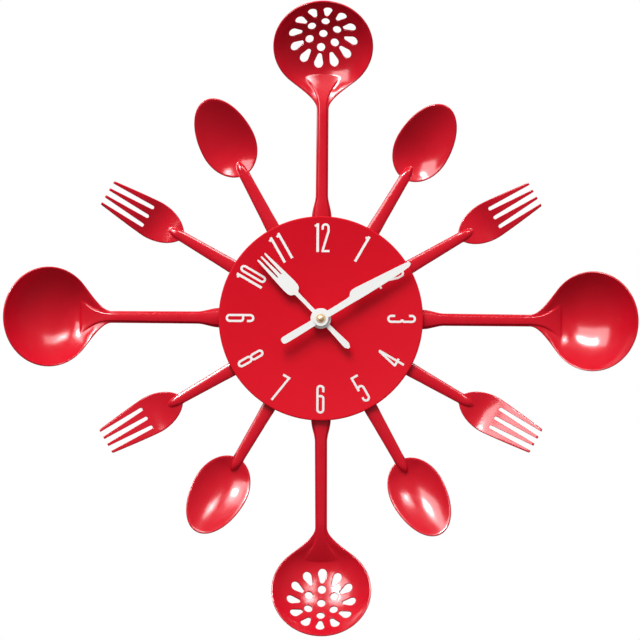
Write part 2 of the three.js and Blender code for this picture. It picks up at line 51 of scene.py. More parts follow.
# ---- driving dimensions, millimetres and degrees ----
SHEET = 1.2                 # enamelled sheet of bowls, spoons and forks
HANDLE_START = 47.5         # inner end of the handles, under the dial
HANDLE_MID = 20.5           # depth of the middle of every handle
TANG_END = 64               # the wide tang narrows to the handle between these two
WAIST = 78
LADLE_HANDLE = (6.2, 3.9)   # half-widths at the tang and at the waist
LADLE_NECK = 3.75           # half-width where the ladle's handle ends
TONGUE_NECK = 3.3
LADLE_NECK_AT = 130
SMALL_HANDLE = (4.1, 3.7)   # the same two half-widths on spoons and forks
SPOON_NECK = 3.1
FORK_NECK = 3.0

BOWL_RIM = 31.5             # ladle bowl: outside rim radius, depth, tilt and the rim's centre
BOWL_DEEP = 14
BOWL_TILT = math.radians(25)
BOWL_AT = 171.5
BOWL_SPHERE = (BOWL_RIM ** 2 + BOWL_DEEP ** 2) / (2 * BOWL_DEEP)
BOWL_RISE = BOWL_SPHERE - BOWL_DEEP
BOWL_MIDDLE = BOWL_SPHERE - SHEET / 2
RIM_DEPTH = HANDLE_MID - 0.5 + BOWL_RIM * math.sin(BOWL_TILT)
BOWL_JOIN = 150             # where the bowl's own grid takes over from the handle's
TONGUE_DEPTH = 21.1         # middle of the sheet on the raised tongue, and beside it
FLANK_DEPTH = 19.9
TONGUE_STEP = 0.9           # least height of the tongue above the sheet beside it
HOLLOW = 3.6                # how much deeper than its sphere the bowl is beside the tongue's end
DRAIN_AT = 3.0              # centre of the draining holes, beyond the rim's centre
DRAIN_TURNS = {12: 8.5, 6: 2.5}     # how far each skimmer's pattern of holes is turned clockwise

SPOON_HALF = 17.5           # spoon bowl: two half ellipses meeting at the widest place
SPOON_WIDEST = 125
SPOON_NEAR = 22.6
SPOON_FAR = 30.6
SPOON_SINK = 6.5            # depth of the bowl below its rim
SPOON_TILT = math.radians(18)       # final forward slope of the head
SPOON_BEND = (100, 14)      # where the forward bend starts, and its length
FORK_WIDEST = 122.5
FORK_HALF = 12.1
FORK_NEAR = 21
FORK_END = 156
FORK_TILT = math.radians(24)
FORK_BEND = (104, 22)
NECK = 102                  # where spoon and fork handles meet their heads
FORK_SLOTS = ((-6.4, -5.1), (0, 0), (6.4, 5.1))     # x of each slot at its root and at the tips

DIAL_DISH = 0.12            # how far the dial's face lies below its rim
DIAL_BORE = 4.3
DIGIT_TALL = 18.1
DIGIT_HALF = 1.85           # half-width of a digit's centreline
DIGIT_STEP = 5.4            # from one digit to the next in a number
DIGIT_MARGIN = 4.5          # from a number's outer end to the dial's edge
STROKE = 1.4

HOUR_HUB = 6.45             # radii of the hands' hubs and of their bores
HOUR_BORE = 2.85
MINUTE_HUB = 4.8
MINUTE_BORE = 3.0
ARM_THICK = 0.8

CAMERA_AWAY = 9.0           # metres
VIEW_WIDE = 0.4036

HOURS = range(1, 13)
UTENSILS = ["spoon", "fork", "ladle", "fork", "spoon", "skimmer"]


# ---- the frame, seen from the front ----
def span(node):
    """Lowest and highest front-view corner of a CAD node, in millimetres."""
    low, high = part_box(node)
    return (Vector((low.x, low.z, -high.y)) / MM, Vector((high.x, high.z, -low.y)) / MM)


def middle_of(node):
    """Front-view x and y of the mean of a CAD node's corners, in millimetres."""
    points = np.array([corner.co for corner in NODES[node].data.vertices]) / MM
    return points[:, 0].mean(), points[:, 2].mean()


def bearing(hour):
    """Clockwise angle of an hour's utensil, read from its tang screw."""
    return math.atan2(*middle_of(f"tang_screw_{hour}"))


def to_frame(points, turn=0.0):
    """Front-view millimetres, turned clockwise about the clock's axis, to the frame's metres."""
    x, y, z = np.asarray(points, float).reshape(-1, 3).T
    cos, sin = math.cos(turn), math.sin(turn)
    return np.stack([x * cos + y * sin, -z, y * cos - x * sin], axis=1) * MM


# ---- materials ----
def new_material(name, colour, roughness, metallic=0.0, **extra):
    """A material and its shader; further sockets are given by name, with _ for each space."""
    material = bpy.data.materials.new(name)
    material.use_nodes = True
    shader = material.node_tree.nodes["Principled BSDF"]
    shader.inputs["Base Color"].default_value = (*colour, 1)
    shader.inputs["Roughness"].default_value = roughness
    shader.inputs["Metallic"].default_value = metallic
    for socket, value in extra.items():
        shader.inputs[socket.replace("_", " ")].default_value = value
    return material, shader


def noise(material, scale, detail=2.0, stretch=(1, 1, 1)):
    """A noise texture over the object's own coordinates, scale in waves per metre."""
    nodes, links = material.node_tree.nodes, material.node_tree.links
    place = nodes.new("ShaderNodeTexCoord")
    mapping = nodes.new("ShaderNodeMapping")
    mapping.inputs["Scale"].default_value = stretch
    texture = nodes.new("ShaderNodeTexNoise")
    texture.inputs["Scale"].default_value = scale
    texture.inputs["Detail"].default_value = detail
    links.new(place.outputs["Object"], mapping.inputs["Vector"])
    links.new(mapping.outputs["Vector"], texture.inputs["Vector"])
    return texture.outputs["Fac"]


def add_bump(material, shader, height, distance, strength):
    """A bump from a noise, its distance in millimetres."""
    bump = material.node_tree.nodes.new("ShaderNodeBump")
    bump.inputs["Strength"].default_value = strength
    bump.inputs["Distance"].default_value = distance * MM
    material.node_tree.links.new(height, bump.inputs["Height"])
    material.node_tree.links.new(bump.outputs["Normal"], shader.inputs["Normal"])


def vary(material, shader, source, socket, low, high):
    """Lets a noise move one number of the shader between two values."""
    span_map = material.node_tree.nodes.new("ShaderNodeMapRange")
    span_map.inputs["From Min"].default_value = 0.3
    span_map.inputs["From Max"].default_value = 0.7
    span_map.inputs["To Min"].default_value = low
    span_map.inputs["To Max"].default_value = high
    material.node_tree.links.new(source, span_map.inputs["Value"])
    material.node_tree.links.new(span_map.outputs["Result"], shader.inputs[socket])


def vary_colour(material, shader, source, low, high):
    """Lets a noise move the base colour between two colours."""
    mix = material.node_tree.nodes.new("ShaderNodeMix")
    mix.data_type = "RGBA"
    mix.inputs["A"].default_value = (*low, 1)
    mix.inputs["B"].default_value = (*high, 1)
    material.node_tree.links.new(source, mix.inputs["Factor"])
    material.node_tree.links.new(mix.outputs["Result"], shader.inputs["Base Color"])


def enamel_material():
    material, shader = new_material("red_enamel", (0.56, 0.004, 0.016), 0.2,
                                    Coat_Weight=0.4, Coat_Roughness=0.13)
    vary_colour(material, shader, noise(material, 45), (0.53, 0.003, 0.014), (0.59, 0.005, 0.018))
    vary(material, shader, noise(material, 160), "Roughness", 0.18, 0.23)
    add_bump(material, shader, noise(material, 180), 0.02, 0.5)
    return material


def dial_material():
    material, shader = new_material("dial_red", (0.58, 0.003, 0.014), 0.42, Specular_IOR_Level=0.08)
    vary_colour(material, shader, noise(material, 30), (0.56, 0.003, 0.013), (0.60, 0.004, 0.015))
    vary(material, shader, noise(material, 900), "Roughness", 0.38, 0.48)
    add_bump(material, shader, noise(material, 1800), 0.02, 0.5)
    return material


def white_material():
    material, shader = new_material("hand_white", (0.76, 0.76, 0.74), 0.32)
    vary(material, shader, noise(material, 300), "Roughness", 0.27, 0.38)
    add_bump(material, shader, noise(material, 500), 0.01, 0.5)
    return material


def plastic_material():
    material, shader = new_material("black_plastic", (0.018, 0.018, 0.02), 0.5)
    vary(material, shader, noise(material, 700), "Roughness", 0.42, 0.6)
    add_bump(material, shader, noise(material, 2500, 4), 0.06, 0.7)
    return material


def steel_material():
    material, shader = new_material("zinc_steel", (0.6, 0.61, 0.62), 0.3, 1.0)
    vary(material, shader, noise(material, 120, 3, (1, 1, 14)), "Roughness", 0.22, 0.42)
    add_bump(material, shader, noise(material, 150, 3, (1, 1, 20)), 0.01, 0.5)
    return material


def brass_material():
    material, shader = new_material("brass", (0.95, 0.68, 0.42), 0.4, 0.7)
    vary(material, shader, noise(material, 400), "Roughness", 0.34, 0.46)
    return material


def copper_material():
    material, shader = new_material("copper_wire", (0.55, 0.22, 0.09), 0.3, 1.0, Coat_Weight=0.4)
    add_bump(material, shader, noise(material, 2200, 2, (8, 1, 1)), 0.06, 0.8)
    return material


def rubber_material():
    material, shader = new_material("black_rubber", (0.012, 0.012, 0.012), 0.8)
    add_bump(material, shader, noise(material, 1500), 0.03, 0.6)
    return material


def nylon_material():
    material, shader = new_material("white_nylon", (0.8, 0.78, 0.7), 0.45, Subsurface_Weight=0.15)
    shader.inputs["Subsurface Radius"].default_value = (0.001, 0.001, 0.0008)
    add_bump(material, shader, noise(material, 900), 0.02, 0.5)
    return material


def board_material():
    material, shader = new_material("board_brown", (0.3, 0.19, 0.07), 0.6)
    vary_colour(material, shader, noise(material, 500, 4, (1, 1, 6)), (0.26, 0.16, 0.06), (0.34, 0.22, 0.08))
    return material


def sleeve_material():
    material, shader = new_material("battery_sleeve", (0.03, 0.17, 0.1), 0.28, Coat_Weight=0.3)
    add_bump(material, shader, noise(material, 200), 0.02, 0.4)
    return material


def magnet_material():
    material, shader = new_material("rotor_magnet", (0.1, 0.1, 0.11), 0.45, 0.9)
    vary(material, shader, noise(material, 1200), "Roughness", 0.35, 0.55)
    return material


MATERIALS = {
    "red_enamel": enamel_material(),
    "dial_red": dial_material(),
    "hand_white": white_material(),
    "black_plastic": plastic_material(),
    "white_nylon": nylon_material(),
    "rotor_magnet": magnet_material(),
    "brass": brass_material(),
    "zinc_steel": steel_material(),
    "copper_wire": copper_material(),
    "board_brown": board_material(),
    "battery_sleeve": sleeve_material(),
    "black_rubber": rubber_material(),
}

SLOT_OF = {
    "black_plastic": ["utensil_carrier", "movement_case_front", "movement_case_rear", "setting_knob",
                      "circuit_chip"],
    "white_nylon": ["train_plate", "fifth_wheel", "second_wheel", "third_wheel", "motion_wheel", "hour_wheel",
                    "coil_bobbin"],
    "rotor_magnet": ["rotor"],
    "brass": ["centre_wheel", "minute_arbor", "fixing_nut", "hand_nut"],
    "zinc_steel": ["stator", "coil_core", "quartz_crystal", "battery_contact_positive",
                   "battery_contact_negative", "hanger", "steel_washer",
                   *[f"tang_screw_{hour}" for hour in HOURS]],
    "copper_wire": ["coil_winding"],
    "board_brown": ["circuit_board"],
    "battery_sleeve": ["battery"],
    "black_rubber": ["rubber_washer"],
    "dial_red": ["dial_plate"],
    "hand_white": ["hour_hand", "minute_hand"],
    "red_enamel": [f"{UTENSILS[(hour - 1) % 6]}_{hour}" for hour in HOURS],
}

BEVEL_OF = {"movement_case_front": 0.6, "movement_case_rear": 0.6, "utensil_carrier": 0.5, "setting_knob": 0.4}


def dress_cad_nodes():
    """Materials, softened edges and smooth rounds on the CAD's own nodes."""
    for slot, names in SLOT_OF.items():
        for name in names:
            node = NODES[name]
            node.data.materials.clear()
            node.data.materials.append(MATERIALS[slot])
            if slot not in ("red_enamel", "dial_red", "hand_white"):
                soften(node, BEVEL_OF.get(name, 0.2))


# ---- mesh making ----
def new_piece(name, points, faces, slot, body="root", turn=0.0):
    """A smooth-shaded mesh from front-view millimetres, riding on a body."""
    mesh = bpy.data.meshes.new(name)
    mesh.from_pydata(to_frame(points, turn).tolist(), [], faces)
    mesh.validate()
    mesh.shade_smooth()
    piece = bpy.data.objects.new(name, mesh)
    bpy.context.scene.collection.objects.link(piece)
    mesh.materials.append(MATERIALS[slot])
    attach(piece, body)
    return piece


def apply_modifiers(piece):
    """Bakes a piece's modifiers into its mesh."""
    graph = bpy.context.evaluated_depsgraph_get()
    made = bpy.data.meshes.new_from_object(piece.evaluated_get(graph))
    piece.modifiers.clear()
    piece.data = made


def carve(piece, cutter_points, cutter_faces, turn=0.0, own_crossings=False):
    """Takes a closed front-view mesh out of a piece, whose own skin may cross itself."""
    mesh = bpy.data.meshes.new("cutter")
    mesh.from_pydata(to_frame(cutter_points, turn).tolist(), [], cutter_faces)
    cutter = bpy.data.objects.new("cutter", mesh)
    bpy.context.scene.collection.objects.link(cutter)
    modifier = piece.modifiers.new("cut", "BOOLEAN")
    modifier.object = cutter
    modifier.operation = "DIFFERENCE"
    modifier.solver = "EXACT"
    modifier.use_self = own_crossings
    apply_modifiers(piece)
    bpy.data.objects.remove(cutter)


def soften(piece, width, segments=2, angle=35):
    """Bevels a piece's sharp edges, width in millimetres."""
    bevel = piece.modifiers.new("bevel", "BEVEL")
    bevel.width = width * MM
    bevel.segments = segments
    bevel.limit_method = "ANGLE"
    bevel.angle_limit = math.radians(angle)
    bevel.harden_normals = True
    piece.data.shade_smooth()


def smooth_by_angle(piece, angle=35):
    """Smooth shading with edges sharper than an angle left crisp."""
    piece.data.shade_smooth()
    piece.data.set_sharp_from_angle(angle=math.radians(angle))


def ease(value):
    """0 below 0, 1 above 1, smooth between."""
    value = np.clip(value, 0, 1)
    return value * value * (3 - 2 * value)


def loft(rings, closed_ends=True):
    """Points and faces of a skin through equal rings of points, each anticlockwise seen from the last ring."""
    count = len(rings[0])
    points = np.concatenate([np.asarray(ring, float) for ring in rings])
    faces = []
    for level in range(len(rings) - 1):
        low, high = level * count, (level + 1) * count
        faces += [[low + i, low + (i + 1) % count, high + (i + 1) % count, high + i] for i in range(count)]
    if closed_ends:
        faces.append(list(range(count))[::-1])
        faces.append([(len(rings) - 1) * count + i for i in range(count)])
    return points, faces


def combined(parts):
    """Several point and face lists as one."""
    points, faces = [], []
    for part_points, part_faces in parts:
        start = sum(len(p) for p in points)
        points.append(np.asarray(part_points, float))
        faces += [[start + i for i in face] for face in part_faces]
    return np.concatenate(points), faces


def turned(profile, segments):
    """A closed turned skin about the clock's axis: the profile is [radius, depth], anticlockwise."""
    profile = np.asarray(profile, float)
    angles = np.arange(segments) * 2 * math.pi / segments
    cos, sin = np.cos(angles), np.sin(angles)
    rings = [np.stack([r * cos, r * sin, np.full(segments, z)], axis=1) for r, z in profile]
    points, faces = loft(rings + rings[:1], closed_ends=False)
    count = len(profile) * segments
    return points[:count], [[i % count for i in face] for face in faces]


def edge_ring(front, back, steps=5):
    """Half-round edge between the borders of two grids: the extra rings of points, front to back."""
    border = np.concatenate([front[0, :-1], front[:-1, -1], front[-1, :0:-1], front[:0:-1, 0]])
    border_back = np.concatenate([back[0, :-1], back[:-1, -1], back[-1, :0:-1], back[:0:-1, 0]])
    centre = (border + border_back) / 2
    half = (border - border_back) / 2
    size = np.linalg.norm(half, axis=1, keepdims=True)
    along = np.roll(border, -1, axis=0) - np.roll(border, 1, axis=0)
    outward = np.cross(along, half)
    outward /= np.linalg.norm(outward, axis=1, keepdims=True)
    rings = []
    for step in range(1, steps + 1):
        angle = math.pi * step / (steps + 1)
        rings.append(centre + math.cos(angle) * half + math.sin(angle) * outward * size)
    return rings


def sheet(middle, raised=None):
    """Points and faces of a sheet round a grid of middle points, its front face raised where asked."""
    normal = np.cross(np.gradient(middle, axis=1), np.gradient(middle, axis=0))
    normal /= np.linalg.norm(normal, axis=2, keepdims=True)
    front = middle + normal * SHEET / 2
    if raised is not None:
        front[..., 2] += raised
    back = middle - normal * SHEET / 2
    rows, columns = middle.shape[:2]
    rings = edge_ring(front, back)
    points = np.concatenate([front.reshape(-1, 3), back.reshape(-1, 3), *rings])
    grid = np.arange(rows * columns).reshape(rows, columns)
    quads = np.stack([grid[:-1, :-1], grid[:-1, 1:], grid[1:, 1:], grid[1:, :-1]], axis=-1).reshape(-1, 4)
    border = np.concatenate([grid[0, :-1], grid[:-1, -1], grid[-1, :0:-1], grid[:0:-1, 0]])
    count = len(border)
    first = 2 * rows * columns
    levels = [border, *[first + ring * count + np.arange(count) for ring in range(len(rings))],
              border + rows * columns]
    faces = [quads, quads[:, ::-1] + rows * columns]
    for upper, lower in zip(levels[:-1], levels[1:]):
        faces.append(np.stack([upper, lower, np.roll(lower, -1), np.roll(upper, -1)], axis=-1))
    return points, np.concatenate(faces).tolist()


def spread(columns, inner, outer, share):
    """Column positions from -outer to outer: a share of them inside inner, closer together near that line."""
    place = np.linspace(-1, 1, columns)
    size = np.abs(place)
    inside = np.clip(size / share, 0, 1)
    beyond = np.clip((size - share) / (1 - share), 0, 1)
    inside = 0.5 * inside + 0.5 * np.sin(inside * math.pi / 2)
    beyond = 0.5 * beyond + 0.5 * (1 - np.cos(beyond * math.pi / 2))
    return np.sign(place) * (inner * inside + (outer - inner) * beyond)


def arc(half_x, half_y, start, end, count, share=None):
    """Points of an ellipse about the origin between two angles in degrees, evenly or at given shares."""
    share = np.linspace(0, 1, count) if share is None else share
    angles = np.radians(start + (end - start) * share)
    return np.stack([half_x * np.cos(angles), half_y * np.sin(angles)], axis=1)


def filled(bottom, top, left, right, steps):
    """A grid of 2D points filling four border curves, its rows at given shares of the way up."""
    u = np.linspace(0, 1, len(bottom))[None, :, None]
    v = np.asarray(steps)[:, None, None]
    corners = (1 - u) * (1 - v) * bottom[0] + u * (1 - v) * bottom[-1] + (1 - u) * v * top[0] + u * v * top[-1]
    return (1 - v) * bottom[None] + v * top[None] + (1 - u) * left[:, None] + u * right[:, None] - corners


# ---- handles ----
def handle_half(y, tang, waist, neck, end):
    """Half-width of a handle along its length."""
    flare = (tang - waist) * (1 - ease((y - TANG_END) / (WAIST - TANG_END)))
    taper = (neck - waist) * np.clip((y - WAIST) / (end - WAIST), 0, 1)
    return waist + flare + taper


HANDLE_ROWS = np.concatenate([np.arange(HANDLE_START, TANG_END, 3), np.arange(TANG_END, WAIST, 0.8)])


# ---- ladles and skimmers ----
def bowl_place(p, q):
    """Middle of the sheet on the bowl's sphere over a point of its tilted rim plane."""
    deep = np.sqrt(np.maximum(BOWL_MIDDLE ** 2 - p ** 2 - q ** 2, 0)) - BOWL_RISE
    y = BOWL_AT + q * math.cos(BOWL_TILT) + deep * math.sin(BOWL_TILT)
    z = RIM_DEPTH + q * math.sin(BOWL_TILT) - deep * math.cos(BOWL_TILT)
    return np.stack([p + 0 * deep, y, z], axis=-1)


def bowl_centre():
    """Centre of the bowl's sphere."""
    return np.array([0, BOWL_AT - BOWL_RISE * math.sin(BOWL_TILT), RIM_DEPTH + BOWL_RISE * math.cos(BOWL_TILT)])


def bowl_depth(x, y):
    """Depth of the bowl's sphere straight behind a front-view point."""
    centre = bowl_centre()
    return centre[2] - np.sqrt(np.maximum(BOWL_MIDDLE ** 2 - x ** 2 - (y - centre[1]) ** 2, 0))


def hollow(x, y):
    """How far the bowl sinks below its sphere beside the end of the tongue."""
    reach = ease((y - 134) / 19) * (1 - ease((y - 153) / 21))
    return HOLLOW * reach * np.clip(1 - (x / 27) ** 2, 0, 1)


def ladle_half(y):
    """Half-width of a ladle from its handle out to the bowl's rim."""
    start, rim = 132, BOWL_RIM - SHEET / 2
    semi = rim * math.cos(BOWL_TILT)
    sine = (BOWL_JOIN - BOWL_AT) / semi
    end_half = rim * math.sqrt(1 - sine ** 2)
    end_slope = -rim / semi * sine / math.sqrt(1 - sine ** 2)
    s = np.clip((y - start) / (BOWL_JOIN - start), 0, 1)
    neck = LADLE_NECK - SHEET / 2
    flare = (neck * (2 * s ** 3 - 3 * s ** 2 + 1) + end_half * (3 * s ** 2 - 2 * s ** 3)
             + end_slope * (BOWL_JOIN - start) * (s ** 3 - s ** 2))
    return np.where(y < start, handle_half(y, *LADLE_HANDLE, LADLE_NECK, LADLE_NECK_AT) - SHEET / 2, flare)


def tongue_half(y):
    """Half-width of the raised tongue that runs along the handle and fans out into the bowl."""
    handle = 0.8 * (handle_half(y, *LADLE_HANDLE, TONGUE_NECK, LADLE_NECK_AT) - SHEET / 2)
    return handle + 10.7 * np.clip((y - 132) / 21.2, 0, 1.2) ** 2.2


def tongue_crown(x, y):
    """Depth of the tongue's top: slightly round across the handle, and falling away towards the bowl."""
    fall = 6.2 * (np.clip(y - 127, 0, None) / 25) ** 1.8
    return TONGUE_DEPTH - 0.4 * (x / 3) ** 2 * (1 - ease((y - 125) / 15)) - fall * (1 - 0.35 * (x / 13) ** 2)


def tongue_share(x, y, crease_middle, crease_corner):
    """1 on the tongue, 0 beside and beyond it."""
    soft = 0.4 + 0.5 * ease((y - 130) / 20)
    across = ease((tongue_half(y) - np.abs(x)) / (2 * soft) + 0.5)
    crease = crease_middle - (crease_middle - crease_corner) * (np.abs(x) / 13.3) ** 2
    return across * ease((crease - y) / 1.8 + 0.5)


def ladle_grid(crease_middle, crease_corner, columns=71):
    """Grid of the middle of a ladle's sheet, from the tang to the far rim."""
    rows = np.concatenate([HANDLE_ROWS, np.arange(WAIST, LADLE_NECK_AT, 2.6),
                           np.arange(LADLE_NECK_AT, BOWL_JOIN - 0.2, 0.45)])
    chord = (BOWL_JOIN - BOWL_AT) / math.cos(BOWL_TILT)
    rim = BOWL_RIM - SHEET / 2
    start = math.degrees(math.asin(chord / rim))
    join_half = rim * math.cos(math.radians(start))
    join = spread(columns, float(tongue_half(151.5)), join_half, 0.6)
    bend = bowl_place(join, chord)[:, 1] - BOWL_JOIN
    grid = []
    for y in rows:
        half = float(ladle_half(y))
        x = spread(columns, min(float(tongue_half(y)), 0.9 * half), half, 0.6)
        row_y = y + bend * float(ease((y - 132) / (BOWL_JOIN - 132)))
        share = ease((row_y - 139) / 9)
        depth = FLANK_DEPTH + (bowl_depth(x, row_y) - FLANK_DEPTH) * share
        grid.append(np.stack([x, row_y, depth], axis=1))
    steps = np.concatenate([np.linspace(0, 0.16, 20), np.linspace(0.16, 1, 44)[1:]])
    patch = filled(
        np.stack([join, np.full(columns, chord)], axis=1),
        arc(rim, rim, 135, 45, columns),
        arc(rim, rim, 180 - start, 135, len(steps), steps),
        arc(rim, rim, start, 45, len(steps), steps),
        steps,
    )
    grid = np.concatenate([np.array(grid), bowl_place(patch[..., 0], patch[..., 1])])
    x, y = grid[..., 0], grid[..., 1]
    grid[..., 2] -= hollow(x, y)
    beside = (1 - ease((np.abs(x) - tongue_half(y)) / 6)) * (1 - ease((y - 144) / 6))
    grid[..., 2] -= beside * np.maximum(grid[..., 2] - tongue_crown(x, y) + TONGUE_STEP, 0)
    raised = np.maximum(tongue_crown(x, y) - grid[..., 2], 0)
    grid[..., 2] += tongue_share(x, y, crease_middle, crease_corner) * raised
    return grid


def hull_outline(circles, count):
    """Outline round some circles (x, y, radius): for each direction, the furthest point of any of them."""
    angles = np.arange(count) * 2 * math.pi / count
    directions = np.stack([np.cos(angles), np.sin(angles)], axis=1)
    centres = np.array([circle[:2] for circle in circles])
    radii = np.array([circle[2] for circle in circles])
    reach = directions @ centres.T + radii
    chosen = reach.argmax(axis=1)
    return centres[chosen] + directions * radii[chosen, None], directions


def refined(outline, longest=3.0):
    """A closed outline with its long stretches divided: each row is x, y and whatever goes with them."""
    points = []
    for a, b in zip(outline, np.roll(outline, -1, axis=0)):
        parts = max(1, math.ceil(np.linalg.norm(b[:2] - a[:2]) / longest))
        points += [a + (b - a) * i / parts for i in range(parts)]
    return np.array(points)


def rounded_cutter(outline, outward, place, fillet=0.35):
    """A cutter through the sheet whose two ends flare, so that the hole's edges come out round."""
    half = SHEET / 2
    profile = [(-half - 4, fillet + 0.15), (-half - 0.5, fillet + 0.15)]
    profile += [(-half + fillet * (1 - math.cos(a)), fillet * (1 - math.sin(a))) for a in (0, 0.5, 1.0, 1.57)]
    profile += [(half - fillet * (1 - math.cos(a)), fillet * (1 - math.sin(a))) for a in (1.57, 1.0, 0.5, 0)]
    profile += [(half + 0.5, fillet + 0.15), (half + 4, fillet + 0.15)]
    return loft([place(outline + outward * shift, level) for level, shift in profile])


def drain_cutters(turn):
    """Nineteen draining holes, turned clockwise: one in the middle, six round it, twelve drops outside."""
    centre = bowl_centre()

    def on_bowl(points, level):
        middle = bowl_place(points[:, 0], points[:, 1])
        inward = (centre - middle) / BOWL_MIDDLE
        middle[:, 2] -= hollow(middle[:, 0], middle[:, 1])
        return middle + inward * level

    def turned_to(outline, outward, angle):
        cos, sin = math.cos(angle), math.sin(angle)
        matrix = np.array([[cos, sin], [-sin, cos]])
        return outline @ matrix + [0, DRAIN_AT], outward @ matrix

    hole, around = hull_outline([(0, 0, 2.6)], 20)
    drop, along = hull_outline([(0, 14.7, 1.4), (0, 19.1, 2.8)], 30)
    cutters = [rounded_cutter(*turned_to(hole, around, 0), on_bowl)]
    for i in range(6):
        angle = math.radians(60 * i - turn)
        cutters.append(rounded_cutter(*turned_to(hole + [0, 9.3], around, angle), on_bowl))
    for i in range(12):
        angle = math.radians(30 * i - turn)
        cutters.append(rounded_cutter(*turned_to(drop, along, angle), on_bowl))
    return combined(cutters)


# ---- spoons ----
def bump(y, start, end):
    """Half a sine wave between two places."""
    return np.sin(math.pi * np.clip((y - start) / (end - start), 0, 1))


def bent(y, bend, tilt):
    """How far a head has bent forwards: its slope grows along the bend and then stays."""
    start, length = bend
    share = np.clip((y - start) / length, 0, 1)
    return math.tan(tilt) * (length * share ** 2 / 2 + np.maximum(y - start - length, 0))


def spoon_half(y):
    """Half-width of a spoon's sheet as far as its widest place."""
    rim = SPOON_HALF - SHEET / 2
    near = rim * np.sqrt(np.maximum(1 - ((SPOON_WIDEST - y) / (SPOON_NEAR - SHEET / 2)) ** 2, 0))
    handle = handle_half(y, *SMALL_HANDLE, SPOON_NECK, NECK) - SHEET / 2
    return (handle ** 4 + near ** 4) ** 0.25


def spoon_grid(columns=61):
    """Middle of a spoon's sheet, and how far the half-round handle stands up from it."""
    near = SPOON_NEAR - SHEET / 2
    angles = np.radians(np.linspace(6, 90, 46)[:-1])
    rows = np.concatenate([HANDLE_ROWS, np.arange(WAIST, NECK - 0.2, 2), SPOON_WIDEST - near * np.cos(angles)])
    places = []
    for y in rows:
        half = float(spoon_half(y))
        x = spread(columns, min(2.9, 0.8 * half), half, 0.4)
        places.append(np.stack([x, np.full(columns, y)], axis=1))
    rim, far = SPOON_HALF - SHEET / 2, SPOON_FAR - SHEET / 2
    steps = np.linspace(0, 1, 40)
    patch = filled(
        np.stack([spread(columns, 2.9, rim, 0.4), np.zeros(columns)], axis=1),
        arc(rim, far, 135, 45, columns),
        arc(rim, far, 180, 135, 40),
        arc(rim, far, 0, 45, 40),
        steps,
    )
    places = np.concatenate([np.array(places), patch + [0, SPOON_WIDEST]])
    x, y = places[..., 0], places[..., 1]
    reach = np.where(y < SPOON_WIDEST, near, far)
    inside = 1 - (x / rim) ** 2 - ((y - SPOON_WIDEST) / reach) ** 2
    sink = SPOON_SINK * (inside + np.sqrt(inside ** 2 + 0.004)) / 2
    depth = HANDLE_MID - 0.5 * (1 - ease((y - NECK) / 6)) + bent(y, SPOON_BEND, SPOON_TILT) - sink
    half = handle_half(y, *SMALL_HANDLE, SPOON_NECK, NECK)
    dome = 1 - (x / half) ** 2 - (np.clip(y - NECK - 1, 0, None) / 8) ** 2
    raised = (1.1 + 0.6 * sink) * np.sqrt(np.clip(dome, 0, None))
    return np.stack([x, y, depth], axis=-1), raised


# ---- forks ----
def fork_half(y):
    """Half-width of a fork's sheet: it swells from the handle, then narrows a little to the tips."""
    near = FORK_HALF * np.maximum(1 - (np.clip(FORK_WIDEST - y, 0, None) / FORK_NEAR) ** 2, 0) ** 0.57
    far = (FORK_HALF - 8.6) * np.clip((y - FORK_WIDEST - 0.5) / 32, 0, None) ** 1.2
    handle = handle_half(y, *SMALL_HANDLE, FORK_NECK, NECK) - SHEET / 2
    return (handle ** 4 + np.maximum(near - far - SHEET / 2, 0) ** 4) ** 0.25


def fork_depth(x, y):
    """Depth of the middle of a fork's sheet: it sinks a little, then bends forwards, and dips across."""
    dip = bump(y, 101, 138) ** 2 * (1 - (x / 12) ** 2) + 1.8 * bump(y, 101, 136) ** 2
    return HANDLE_MID - 0.5 * (1 - ease((y - NECK) / 6)) + bent(y, FORK_BEND, FORK_TILT) - dip


def fork_grid(columns=49):
    """Middle of a fork's sheet, and how far the half-round handle stands up from it."""
    angles = np.radians(np.linspace(8, 90, 30)[:-1])
    rows = np.concatenate([HANDLE_ROWS, np.arange(WAIST, NECK - 0.5, 2),
                           FORK_WIDEST - FORK_NEAR * np.cos(angles),
                           np.linspace(FORK_WIDEST, FORK_END - SHEET / 2, 36)])
    places = []
    for y in rows:
        half = float(fork_half(y))
        x = spread(columns, min(2.6, 0.8 * half), half, 0.4)
        places.append(np.stack([x, np.full(columns, y)], axis=1))
    places = np.array(places)
    x, y = places[..., 0], places[..., 1]
    half = handle_half(y, *SMALL_HANDLE, FORK_NECK, NECK)
    dome = 1 - (x / half) ** 2 - (np.clip(y - NECK - 1, 0, None) / 7.5) ** 2
    raised = (1.1 + 0.5 * bump(y, 101, 116)) * np.sqrt(np.clip(dome, 0, None))
    return np.stack([x, y, fork_depth(x, y)], axis=-1), raised


def slot_cutters():
    """The three slots between a fork's four tines, with round roots."""
    def on_fork(points, level):
        depth = fork_depth(points[:, 0], points[:, 1])
        return np.stack([points[:, 0], points[:, 1], depth + level], axis=1)

    cutters = []
    for root, tip in FORK_SLOTS:
        outline, outward = hull_outline([(root, 127.1, 1.1), (tip, 156, 1.75), (tip, 158, 1.75)], 36)
        both = refined(np.concatenate([outline, outward], axis=1))
        cutters.append(rounded_cutter(both[:, :2], both[:, 2:], on_fork, 0.25))
    return combined(cutters)


